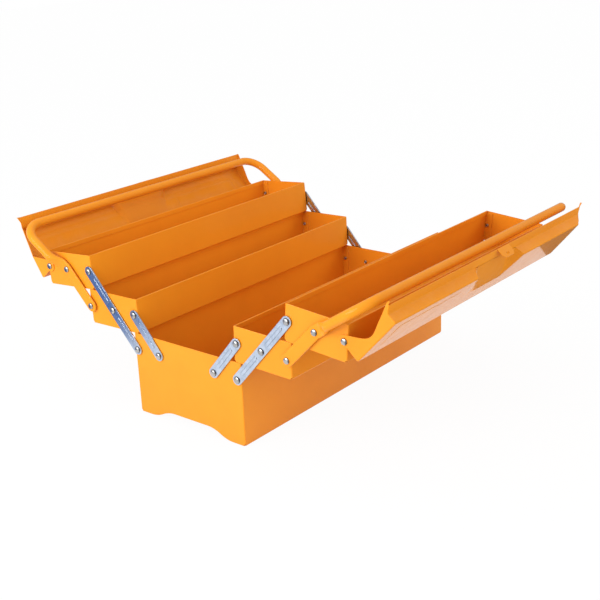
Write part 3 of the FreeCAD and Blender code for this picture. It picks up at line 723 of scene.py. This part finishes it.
# Rows of points across the lid and columns along it
SKIRT_ROWS = (SKIRT_W, 9.6, 13.0, 17.5, 22.0, ROOF_W - BEND)
BEND_ROWS = 6
TOP_BEND_SHARE, LOW_BEND_SHARE = 0.42, 0.3
ROOF_FROM, ROOF_TO = -1.2, 75.9
ROW_STEP, FINE_ROW_STEP = 2.1, 0.65
FINE_ROWS_WITHIN, FINE_COLUMNS_WITHIN = 2.6, 3.0
COLUMN_STEP, SCOOP_COLUMN_STEP, FIELD_COLUMN_STEP = 3.4, 1.3, 0.8
SCOOP_ZONE = (30.0, 70.0)
RIGHT_END_FROM = 150.0


def between(ends, t):
    return ends[0] + (ends[1] - ends[0]) * t


def scoop_depth(x, u):
    """Depth of the finger recess: a ramp down to the ridge, dished on the left, crisp on the right."""
    run = min(max((u - SCOOP_FAR_U) / (RIDGE_U - SCOOP_FAR_U), 0.0), 1.0)
    if x < 0:
        edge = between(SCOOP_LEFT, run)
        bowl = 1.0 - min(-x / edge, 1.0) ** between(SCOOP_DISH_POWERS, run ** 3)
    else:
        edge = between(SCOOP_RIGHT, run)
        bowl = max(soft_min((edge - x) / SCOOP_WALL, 1.0, SCOOP_WALL_ROUND), 0.0)
    return (ROOF_W - STEP_W) * run ** SCOOP_RAMP_POWER * bowl


def field_rise(x, u, bank):
    """Height of the raised field, a rectangle with round corners."""
    dx = abs(x - between(FIELD_X, 0.5)) - (FIELD_X[1] - FIELD_X[0]) / 2 + FIELD_CORNER
    du = abs(u - between(FIELD_U, 0.5)) - (FIELD_U[1] - FIELD_U[0]) / 2 + FIELD_CORNER
    distance = math.hypot(max(dx, 0.0), max(du, 0.0)) + min(max(dx, du), 0.0) - FIELD_CORNER
    return FIELD_RAISE[bank] * (1 - smoothstep(*FIELD_SLOPE, distance))


def arc(centre, radius, start, end, count):
    out = []
    for i in range(count + 1):
        a = math.radians(start + (end - start) * i / count)
        out.append((centre[0] + radius * math.cos(a), centre[1] + radius * math.sin(a)))
    return out


def roof_rows():
    marks = {*FIELD_U, EAR_TOP[0]}
    u = ROOF_FROM
    rows = [u]
    while u < ROOF_TO - 1e-6:
        near_field = any(abs(u - m) < FINE_ROWS_WITHIN for m in FIELD_U)
        u = min(ROOF_TO, u + (FINE_ROW_STEP if near_field else ROW_STEP))
        rows.append(u)
    rows.append(EAR_TOP[0])
    rows = sorted(set(round(r, 3) for r in rows))
    return [r for i, r in enumerate(rows) if i == 0 or r - rows[i - 1] > 0.2 or r in marks]


ROOF_ROWS = roof_rows()


def lid_profile(x, bank):
    """Outer line of the lid across its width at one place along its length."""
    points = [(OUTER_U, w) for w in SKIRT_ROWS]
    points += arc((OUTER_U + BEND, ROOF_W - BEND), BEND, 180, 90, BEND_ROWS)[1:-1]
    for u in ROOF_ROWS:
        points.append((u, ROOF_W - scoop_depth(x, u) + field_rise(x, u, bank)))
    roof_end = points[-1][0]
    crest = ROOF_W - scoop_depth(x, RIDGE_U)
    tall = crest - STEP_W
    top = min(BEND, tall * TOP_BEND_SHARE)
    low = min(BEND_SMALL, tall * LOW_BEND_SHARE)
    ridge = arc((RIDGE_U - top, crest - top), top, 90, 0, BEND_ROWS)[1:]
    points += [(max(u, roof_end + 0.02 * (i + 1)), w) for i, (u, w) in enumerate(ridge)]
    for i in range(1, BEND_ROWS + 1):
        t = i / (BEND_ROWS + 1)
        points.append((RIDGE_U - (RIDGE_U - STEP_U) * t, crest - top - (tall - top - low) * t))
    foot, tip = Vector((STEP_U, STEP_W)), Vector(FLANGE_TIP[bank])
    a = foot + Vector((0, 1)) * low
    b = foot + (tip - foot).normalized() * low
    for i in range(BEND_ROWS):
        t = i / (BEND_ROWS - 1)
        points.append(tuple(a * (1 - t) ** 2 + foot * 2 * t * (1 - t) + b * t * t))
    points += [tuple(b.lerp(tip, i / BEND_ROWS)) for i in range(1, BEND_ROWS + 1)]
    return points


ROW_COUNT = len(lid_profile(0.0, "front"))
ROOF_START = len(SKIRT_ROWS) + BEND_ROWS - 1
LAST_EAR_ROW = ROOF_START + ROOF_ROWS.index(EAR_TOP[0])
FOLD_END = ROOF_START + len(ROOF_ROWS) - 1 + BEND_ROWS


def profile_normals(points):
    """Outward directions at the points of a profile."""
    out = []
    for i in range(len(points)):
        a = points[max(i - 1, 0)]
        b = points[min(i + 1, len(points) - 1)]
        run = Vector((b[0] - a[0], b[1] - a[1])).normalized()
        out.append(Vector((-run.y, run.x)))
    return out


def lid_columns():
    x = END_BEND - LID_OUTER_FACE
    xs = [x]
    while x < LID_OUTER_FACE - 0.5:
        if any(abs(x - m) < FINE_COLUMNS_WITHIN for m in FIELD_X):
            x += FIELD_COLUMN_STEP
        elif SCOOP_ZONE[0] < abs(x) < SCOOP_ZONE[1]:
            x += SCOOP_COLUMN_STEP
        else:
            x += COLUMN_STEP
        xs.append(x)
    xs[-1] = LID_OUTER_FACE
    return xs


def right_edge(u, w):
    """Right end of the sheet, set in towards the ridge and out again at the foot of the step."""
    if w > ROOF_W - 3.0 or u < RIDGE_U - 1.0:
        return LID_OUTER_FACE - RIDGE_SET_IN * max(0.0, u - OUTER_U) / (RIDGE_U - OUTER_U)
    t = max(0.0, min(1.0, (w - STEP_W) / (ROOF_W - STEP_W)))
    return LID_OUTER_FACE - between((FLANGE_SET_IN, RIDGE_SET_IN), t)


def smooth_through(points, per_span):
    """A smooth line through all the points."""
    out = []
    n = len(points)
    for i in range(n - 1):
        p0, p1, p2, p3 = points[max(i - 1, 0)], points[i], points[i + 1], points[min(i + 2, n - 1)]
        for k in range(per_span):
            t = k / per_span
            q = []
            for c in (0, 1):
                a, b, d, e = p0[c], p1[c], p2[c], p3[c]
                q.append(0.5 * (2 * b + (d - a) * t + (2 * a - 5 * b + 4 * d - e) * t * t
                                + (3 * b - a - 3 * d + e) * t ** 3))
            out.append(tuple(q))
    out.append(points[-1])
    return out


def ear_from(p):
    """Round end of the ear, from where a line from p touches it to the back of the skirt."""
    touch = math.degrees(math.atan2(p[1], p[0]) - math.acos(EAR_RADIUS / math.hypot(*p)))
    return arc((0, 0), EAR_RADIUS, touch, EAR_BACK - 360, 26)


def lid_grid(bank):
    """Columns of points along the lid, with a rounded left end and an oblique right end."""
    xs = lid_columns()
    profiles = [lid_profile(x, bank) for x in xs]
    normals = profile_normals(profiles[0])
    grid = []
    bend_steps = 5
    for i in range(bend_steps):
        a = math.pi / 2 * i / bend_steps
        x = -LID_OUTER_FACE + END_BEND * (1 - math.cos(a))
        inset = END_BEND * (1 - math.sin(a))
        grid.append([(x, p[0] - n.x * inset, p[1] - n.y * inset) for p, n in zip(profiles[0], normals)])
    for x, profile in zip(xs, profiles):
        share = max(0.0, (x - RIGHT_END_FROM) / (LID_OUTER_FACE - RIGHT_END_FROM))
        grid.append([(x - share * (LID_OUTER_FACE - right_edge(u, w)), u, w) for u, w in profile])
    return grid


def left_cheek(verts, faces):
    ear = ear_from(CHEEK_EDGE[0])
    curve = smooth_through([ear[0]] + CHEEK_EDGE + [HORN_BACK, HORN], 8)
    start = len(verts)
    verts += [(-LID_OUTER_FACE, u, w) for u, w in curve[::-1][:-1] + ear]
    faces.append(tuple(range(ROW_COUNT)) + tuple(range(start, len(verts))))


def right_end(verts, faces, base):
    """Folds down from the roof edge to a line that runs to the foot of the step, with the ear in front."""
    fold = {}
    for r in range(ROOF_START, FOLD_END):
        x, u, w = verts[base + r]
        line_w = ROOF_W - (ROOF_W - STEP_W) * (u - OUTER_U) / (STEP_U - OUTER_U)
        end = LID_OUTER_FACE - FLANGE_SET_IN * max(0.0, (u - EAR_TOP[0]) / (STEP_U - EAR_TOP[0]))
        fold[r] = [base + r]
        for k in range(1, BEND_ROWS + 1):
            t = k / BEND_ROWS
            verts.append((x + (end - x) * t, u, w + (min(line_w, w) - w) * t))
            fold[r].append(len(verts) - 1)
    for r in range(ROOF_START, FOLD_END - 1):
        for k in range(BEND_ROWS):
            faces.append((fold[r][k], fold[r][k + 1], fold[r + 1][k + 1], fold[r + 1][k]))
    rim = [base + r for r in range(ROOF_START)] + [fold[r][-1] for r in range(ROOF_START, LAST_EAR_ROW + 1)]
    start = len(verts)
    verts += [(LID_OUTER_FACE, u, w) for u, w in ear_from(EAR_TOP)]
    faces.append((tuple(rim) + tuple(range(start, len(verts))))[::-1])


def right_horn(verts, faces, base):
    start = len(verts)
    face = LID_OUTER_FACE - HORN_INSET
    verts += [(face, *HORN), (face, *HORN_BACK), (LID_OUTER_FACE - HORN_FOOT_INSET, *HORN_FOOT)]
    flange = [base + r for r in range(ROW_COUNT - 4, ROW_COUNT)]
    faces.append((tuple(flange) + tuple(range(start, start + 3)))[::-1])


def on_lid(sign, x, u, w):
    """A point of the lid in the frame of the whole box."""
    c, s = math.cos(LID_TURN), math.sin(LID_TURN)
    y, z = PIVOT["D"]
    return bank_point(sign, x, y + u * c - w * s, z + u * s + w * c)


def pressed_lid(bank, sign):
    grid = lid_grid(bank)
    verts = [p for column in grid for p in column]
    faces = []
    base = (len(grid) - 1) * ROW_COUNT
    for start in range(0, base, ROW_COUNT):
        for a in range(start, start + ROW_COUNT - 1):
            faces.append((a, a + ROW_COUNT, a + ROW_COUNT + 1, a + 1))
    left_cheek(verts, faces)
    right_end(verts, faces, base)
    right_horn(verts, faces, base)
    obj = plain_object(bank + "_lid_pressing", [on_lid(sign, *p) for p in verts], faces)
    join_close(obj, 0.03)
    thick = obj.modifiers.new("gauge", "SOLIDIFY")
    thick.thickness = SHEET * MM
    thick.offset = -1.0
    thick.use_even_offset = True
    thick.thickness_clamp = 1.0
    soften(obj, 0.25, 55, 2)
    settle(obj)
    even_shade(obj, 40)
    return obj


# Hasp tab at the flange, bevelled at its free corners and slotted
TAB_MIDDLE, TAB_HALF = 15.0, 15.0
TAB_DROP = {"front": 15.2, "rear": 14.0}
TAB_CORNER, TAB_LAP = 5.0, 0.6
TAB_SLOT_HALF, TAB_SLOT = 3.2, (6.5, 3.5)


def hasp_tab(bank, sign):
    tip_u, tip_w = FLANGE_TIP[bank]
    top, low = tip_w + TAB_DROP[bank], tip_w - TAB_LAP
    half, corner, slot_half = TAB_HALF, TAB_CORNER, TAB_SLOT_HALF
    slot_low, slot_high = top - TAB_SLOT[0], top - TAB_SLOT[1]
    outer = [(-half, low), (half, low), (half, top - corner), (half - corner, top),
             (corner - half, top), (-half, top - corner)]
    inner = [(-slot_half, slot_low), (slot_half, slot_low), (slot_half, slot_high), (-slot_half, slot_high)]
    bm = bmesh.new()

    def ring_at(u, outline):
        points = [on_lid(sign, TAB_MIDDLE * sign + x, u, w) for x, w in outline]
        return [bm.verts.new([v * MM for v in p]) for p in points]

    loops = [(ring_at(u, outer), ring_at(u, inner)) for u in (tip_u - SHEET, tip_u)]
    for pair in loops:
        edges = [bm.edges.new(e) for ring in pair for e in zip(ring, ring[1:] + ring[:1])]
        bmesh.ops.triangle_fill(bm, use_beauty=True, edges=edges)
    for a, b in zip(*loops):
        for i in range(len(a)):
            j = (i + 1) % len(a)
            bm.faces.new((a[i], a[j], b[j], b[i]))
    bmesh.ops.dissolve_limit(bm, angle_limit=math.radians(1), verts=bm.verts, edges=bm.edges)
    bmesh.ops.recalc_face_normals(bm, faces=bm.faces)
    mesh = bpy.data.meshes.new(bank + "_hasp_tab")
    bm.to_mesh(mesh)
    bm.free()
    obj = bpy.data.objects.new(bank + "_hasp_tab", mesh)
    bpy.context.scene.collection.objects.link(obj)
    soften(obj, 0.25, 40, 2)
    settle(obj)
    even_shade(obj, 35)
    return obj


for bank, sign in BANKS:
    finish_piece(pressed_lid(bank, sign), enamel_lid, "orange_enamel", bank + "_lid_body", bank + "_lid")
    finish_piece(hasp_tab(bank, sign), enamel_lid, "orange_enamel", bank + "_lid_body")


# CAD pieces that keep their shape
def dress(node, material):
    o = nodes[node]
    if not o.material_slots:
        o.data.materials.append(material)
    for s in o.material_slots:
        s.material = material


dress("base_box", enamel_box)
for bank, _ in BANKS:
    for tray in ("_lower_tray", "_upper_tray"):
        dress(bank + tray, enamel_box)
        dress(bank + tray + "_spacers", steel_washer)


# Floor, light and camera: places in metres, turns in degrees, lens and sensor in millimetres
FLOOR_HALF = 6.0
# The paper is white to the camera; to the object's sheen it glows white only within these bounds and is
# painted dark outside them, or blue behind, a painted reflection
WHITE_FLOOR_SLANT = 0.75
WHITE_FLOOR_FRONT, WHITE_FLOOR_BACK = -0.26, 0.32
WHITE = (1, 1, 1, 1)
PAINTED_DARK_REFLECTION, PAINTED_BLUE_REFLECTION = (0.1, 0.1, 0.1, 1), (0.1, 0.19, 0.42, 1)
FLOOR_GLOW = 0.95
AIR_LEVEL, MIRRORED_AIR_LEVEL = 0.95, 0.45
LIGHT_SIZE = (1.2, 0.9)
LENS, SENSOR_WIDTH = 66.244, 36.0
CAMERA_PLACE = (-1.220353, -1.003491, 0.685967)
CAMERA_TURN, CAMERA_RISE, CAMERA_ROLL = 39.39313, -19.92002, -2.34064


def floor_and_painted_reflection_colour(tree, glossy):
    """White to the camera; to the sheen a painted reflection: glowing white, painted dark in front and
    beyond the far end, painted blue behind.
    """
    place = tree.nodes.new("ShaderNodeTexCoord").outputs["Object"]
    split = tree.nodes.new("ShaderNodeSeparateXYZ")
    tree.links.new(place, split.inputs[0])
    x, y = split.outputs["X"], split.outputs["Y"]
    beyond = math_node(tree, "GREATER_THAN", math_node(tree, "SUBTRACT", x, y), WHITE_FLOOR_SLANT)
    before = math_node(tree, "LESS_THAN", y, WHITE_FLOOR_FRONT)
    behind = math_node(tree, "MULTIPLY", math_node(tree, "GREATER_THAN", y, WHITE_FLOOR_BACK),
                       math_node(tree, "LESS_THAN", x, 0.0))
    # Painted reflection: the sheen mirrors dark in front and beyond the far end, and blue behind
    dark_in_reflection = math_node(tree, "MAXIMUM", beyond, before)
    shade = mix_colour(tree, math_node(tree, "MULTIPLY", dark_in_reflection, glossy), WHITE, PAINTED_DARK_REFLECTION)
    return mix_colour(tree, math_node(tree, "MULTIPLY", behind, glossy), shade, PAINTED_BLUE_REFLECTION)


def make_floor():
    mesh = bpy.data.meshes.new("studio_floor")
    f = FLOOR_HALF
    mesh.from_pydata([(-f, -f, 0), (f, -f, 0), (f, f, 0), (-f, f, 0)], [], [(0, 1, 2, 3)])
    obj = bpy.data.objects.new("studio_floor", mesh)
    bpy.context.scene.collection.objects.link(obj)
    m = bpy.data.materials.new("floor_paper")
    m.use_nodes = True
    tree = m.node_tree
    tree.nodes.clear()
    out = tree.nodes.new("ShaderNodeOutputMaterial")
    matt = tree.nodes.new("ShaderNodeBsdfDiffuse")
    matt.inputs["Color"].default_value = (0.9, 0.9, 0.9, 1)
    glow = tree.nodes.new("ShaderNodeEmission")
    path = tree.nodes.new("ShaderNodeLightPath")
    glossy = path.outputs["Is Glossy Ray"]
    tree.links.new(floor_and_painted_reflection_colour(tree, glossy), glow.inputs["Color"])
    seen = math_node(tree, "MULTIPLY", path.outputs["Is Camera Ray"], FLOOR_GLOW)
    # Glossy rays see only the glow, so the sheen mirrors a glowing floor in its painted reflection colours
    mix = tree.nodes.new("ShaderNodeMixShader")
    tree.links.new(math_node(tree, "ADD", seen, glossy, True), mix.inputs[0])
    tree.links.new(matt.outputs[0], mix.inputs[1])
    tree.links.new(glow.outputs[0], mix.inputs[2])
    tree.links.new(mix.outputs[0], out.inputs["Surface"])
    obj.data.materials.append(m)


def make_surroundings():
    world = bpy.data.worlds.new("studio")
    bpy.context.scene.world = world
    world.use_nodes = True
    tree = world.node_tree
    tree.nodes.clear()
    out = tree.nodes.new("ShaderNodeOutputWorld")
    air = tree.nodes.new("ShaderNodeBackground")
    air.inputs["Color"].default_value = WHITE
    path = tree.nodes.new("ShaderNodeLightPath")
    seen = math_node(tree, "MULTIPLY", path.outputs["Is Camera Ray"], 1.0 - AIR_LEVEL)
    mirrored = math_node(tree, "MULTIPLY", path.outputs["Is Glossy Ray"], AIR_LEVEL - MIRRORED_AIR_LEVEL)
    plain = math_node(tree, "SUBTRACT", math_node(tree, "ADD", seen, AIR_LEVEL), mirrored)
    tree.links.new(plain, air.inputs["Strength"])
    tree.links.new(air.outputs[0], out.inputs["Surface"])


def area_light(name, place, target, power):
    data = bpy.data.lights.new(name, "AREA")
    data.shape = "RECTANGLE"
    data.size, data.size_y = LIGHT_SIZE
    data.energy = power
    obj = bpy.data.objects.new(name, data)
    bpy.context.scene.collection.objects.link(obj)
    obj.location = place
    obj.rotation_mode = "QUATERNION"
    obj.rotation_quaternion = (Vector(target) - Vector(place)).to_track_quat("-Z", "Y")
    return obj


def make_camera():
    data = bpy.data.cameras.new("photo_view")
    data.sensor_width = SENSOR_WIDTH
    data.lens = LENS
    data.clip_start, data.clip_end = 0.05, 60.0
    obj = bpy.data.objects.new("photo_view", data)
    bpy.context.scene.collection.objects.link(obj)
    turn = Matrix.Rotation(math.radians(CAMERA_TURN - 90), 4, "Z")
    rise = Matrix.Rotation(math.radians(CAMERA_RISE + 90), 4, "X")
    roll = Matrix.Rotation(math.radians(CAMERA_ROLL), 4, "Z")
    obj.matrix_world = Matrix.Translation(CAMERA_PLACE) @ turn @ rise @ roll
    return obj


make_floor()
make_surroundings()
area_light("window_side", place=(-1.5, 0.3, 0.75), target=(0, 0, 0.12), power=17)
fill = area_light("front_fill", place=(1.7, -2.0, 1.1), target=(0.1, -0.1, 0.15), power=14)
fill.visible_glossy = False
bpy.context.scene.camera = make_camera()
bpy.context.scene.view_settings.view_transform = "Standard"
